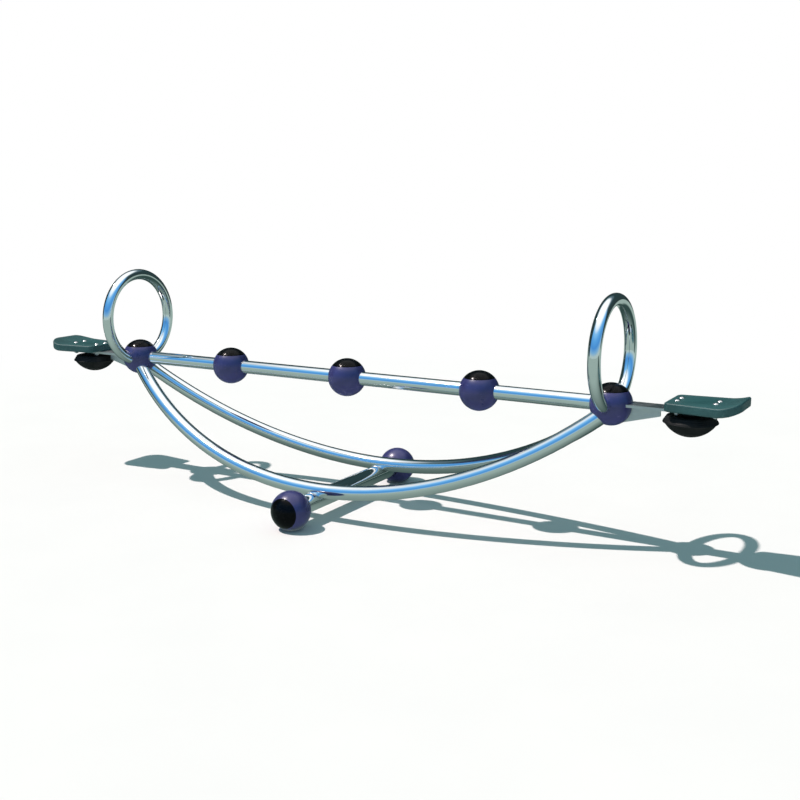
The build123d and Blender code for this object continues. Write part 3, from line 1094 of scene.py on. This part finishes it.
# --- stage -----------------------------------------------------------------
@dataclass
class Studio:
    """Pale floor, one high key light from the left front, soft fill, and the camera.

    Angles are in degrees. Polished steel sees a sky and a floor of its own: a sky by height,
    blue above a grey horizon in front and dark below white behind, and a floor that glows to
    it with a painted reflection, grey-green with painted shade under the seesaw and just behind
    it.
    """

    eye: Triple = (2.4691, -3.8318, 1.3347)
    look_down: float = 10.99
    heading: float = 30.01
    focal_length: float = 49.64
    film: float = 36.0
    sight: float = 60.0
    floor_radius: float = 14.0
    floor_facets: int = 96
    floor_fade: tuple[float, float] = (2.6, 5.0)
    floor_pale: tuple[Colour, Colour] = ((0.84, 0.85, 0.85), (0.88, 0.885, 0.885))
    # Painted reflection and painted shade: the floor glows to polished steel in these tones, the
    # darker one between these two spans across Y, under the seesaw and just behind it.
    painted_reflection_tones: tuple[Colour, Colour] = ((0.34, 0.45, 0.41), (0.035, 0.070, 0.064))
    painted_shade_from: tuple[float, float] = (-0.95, 0.70)
    painted_shade_until: tuple[float, float] = (1.3, 2.4)
    key_away: float = 6.0
    key_strength: float = 3.55
    key_spread: float = 0.9
    key_colour: Colour = (1.0, 0.885, 0.845)
    key_travel: Triple = (0.447, 0.208, -0.869)
    backdrop: Colour = (1.0, 1.0, 1.0)
    fill: float = 0.30
    fill_colour: Colour = (0.54, 0.93, 1.0)
    sky_strength: float = 1.25
    sky_turn: float = 0.5
    sky_seam: float = 0.12
    front_sky: Sky = (
        (0.0, (0.36, 0.47, 0.46)),
        (0.11, (0.17, 0.37, 0.58)),
        (0.26, (0.060, 0.24, 0.57)),
        (0.48, (0.090, 0.32, 0.66)),
        (0.66, (0.19, 0.46, 0.76)),
        (0.78, (0.66, 0.78, 0.88)),
        (0.88, (0.93, 0.95, 0.96)),
        (1.0, (0.96, 0.97, 0.97)),
    )
    rear_sky: Sky = (
        (0.0, (0.020, 0.036, 0.036)),
        (0.58, (0.020, 0.042, 0.046)),
        (0.72, (0.10, 0.16, 0.19)),
        (0.82, (0.86, 0.90, 0.92)),
        (1.0, (0.96, 0.97, 0.97)),
    )

    def floor(self) -> None:
        """Makes the floor, which fades into the backdrop far from the seesaw."""
        shape = bmesh.new()
        bmesh.ops.create_circle(
            shape, cap_ends=True, segments=self.floor_facets, radius=self.floor_radius
        )
        bmesh.ops.recalc_face_normals(shape, faces=shape.faces)
        mesh = bpy.data.meshes.new("floor")
        shape.to_mesh(mesh)
        shape.free()
        mesh.materials.append(self.floor_finish())
        floor = bpy.data.objects.new("floor", mesh)
        bpy.context.scene.collection.objects.link(floor)

    def floor_finish(self) -> bpy.types.Material:
        """Makes the pale floor and its painted reflection, with painted shade, for polished steel.

        Returns:
            The floor's finish.
        """
        nodes = FinishNodes("floor_finish")
        across = nodes.along(0)
        away = nodes.along(1)
        reach = (across * across + away * away) ** 0.5
        pale = nodes.blend(nodes.noise(nodes.place(), 2.2, 3.0), *self.floor_pale)
        matt = nodes.node("ShaderNodeBsdfDiffuse", None, {"Color": pale}).outputs[0]
        far = nodes.shining("ShaderNodeEmission", self.backdrop)
        # Painted shade in a painted reflection: to polished steel the floor glows grey-green,
        # darker under the seesaw and just behind it.
        painted_shade_dip = away.ease(*self.painted_shade_from) - away.ease(*self.painted_shade_until)
        painted_reflection = nodes.shining("ShaderNodeEmission", nodes.blend(painted_shade_dip, *self.painted_reflection_tones))
        faded = nodes.either(reach.ease(*self.floor_fade), matt, far)
        seen = nodes.either(nodes.seen_by("Is Glossy Ray"), faded, painted_reflection)
        nodes.node("ShaderNodeOutputMaterial", None, {"Surface": seen})
        return nodes.owner

    def sky(self) -> None:
        """Makes the room round the seesaw: plain to the camera, and a sky to polished steel."""
        world = bpy.data.worlds.new("studio_room")
        bpy.context.scene.world = world
        nodes = FinishNodes("studio_room", world)
        way = nodes.node("ShaderNodeTexCoord").outputs["Generated"]
        height = {"Fac": nodes.share(way, 2)}
        front, rear = (
            nodes.node("ShaderNodeValToRGB", {"stops": stops}, height).outputs[0]
            for stops in (self.front_sky, self.rear_sky)
        )
        turn = nodes.share(way, 1) - nodes.share(way, 0) * self.sky_turn
        colour = nodes.blend(turn.ease(-self.sky_seam, self.sky_seam), front, rear)
        bright = nodes.shining("ShaderNodeBackground", colour, self.sky_strength)
        soft = nodes.shining("ShaderNodeBackground", self.fill_colour, self.fill)
        plain = nodes.shining("ShaderNodeBackground", self.backdrop)
        lit = nodes.either(nodes.seen_by("Is Glossy Ray"), soft, bright)
        seen = nodes.either(nodes.seen_by("Is Camera Ray"), lit, plain)
        nodes.node("ShaderNodeOutputWorld", None, {"Surface": seen})

    def key(self) -> None:
        """Hangs the key light, whose rays are parallel."""
        lamp = bpy.data.lights.new("key", "SUN")
        lamp.energy = self.key_strength
        lamp.angle = math.radians(self.key_spread)
        lamp.color = self.key_colour
        travel = Vector(self.key_travel)
        light = bpy.data.objects.new("key", lamp)
        light.location = travel * -self.key_away
        light.rotation_euler = travel.to_track_quat("-Z", "Y").to_euler()
        bpy.context.scene.collection.objects.link(light)

    def camera(self) -> None:
        """Sets the camera above the beam, towards the right-hand end."""
        lens = bpy.data.cameras.new("camera")
        lens.lens = self.focal_length
        lens.sensor_width = self.film
        lens.clip_end = self.sight
        camera = bpy.data.objects.new("camera", lens)
        camera.location = self.eye
        tilt = math.radians(90.0 - self.look_down)
        camera.rotation_euler = (tilt, 0.0, math.radians(self.heading))
        bpy.context.scene.collection.objects.link(camera)
        bpy.context.scene.camera = camera

    def build(self) -> None:
        """Sets up the whole stage."""
        self.camera()
        self.floor()
        self.sky()
        self.key()
        view = bpy.context.scene.view_settings
        view.view_transform = "Standard"
        view.look = "None"
        LOG.info("stage ready")


def shared_finishes() -> Finishes:
    """Makes the finishes that several assemblies share.

    Returns:
        The finishes by the record's material slot.
    """
    makers = {
        "cast_core": GrainedMetal("cast_aluminium", (0.56, 0.57, 0.58), 0.46, depth=0.0007),
        "fasteners": GrainedMetal("stainless_fastener", (0.66, 0.67, 0.68), 0.20, grain=500.0),
        "arm_plate": GrainedMetal(
            "satin_plate", (0.60, 0.62, 0.63), 0.24, stretch=(1.0, 26.0, 26.0), grain=40.0
        ),
        "axle_steel": GrainedMetal(
            "zinc_bar",
            (0.55, 0.56, 0.57),
            0.28,
            stretch=(24.0, 1.0, 24.0),
            grain=40.0,
            tint=(0.60, 0.57, 0.46),
            tint_share=0.4,
        ),
        "housing_steel": DullCoating("primed_steel", (0.050, 0.052, 0.058), 0.5),
        "torsion_rubber": DullCoating(
            "cord_rubber", (0.018, 0.017, 0.016), 0.6, stretch=(1.0, 0.05, 1.0)
        ),
        "bush_polymer": DullCoating("acetal", (0.62, 0.60, 0.54), 0.34, grain=420.0),
        "seat_board": SeatPlastic(),
        "bumper_rubber": BumperRubber(),
    }
    return {slot: maker.material() for slot, maker in makers.items()}


def main() -> None:
    """Builds every assembly in order and reports each piece."""
    logging.basicConfig(level=logging.INFO, format="%(name)s: %(message)s")
    kit = Kit(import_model())
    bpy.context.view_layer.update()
    Studio().build()
    finishes = shared_finishes()
    Tubework().build(kit)
    BallSet().build(kit, finishes)
    for end in End:
        SeatEnd(end).build(kit, finishes)
    TorsionAxle().build(kit, finishes)


if __name__ == "__main__":
    main()
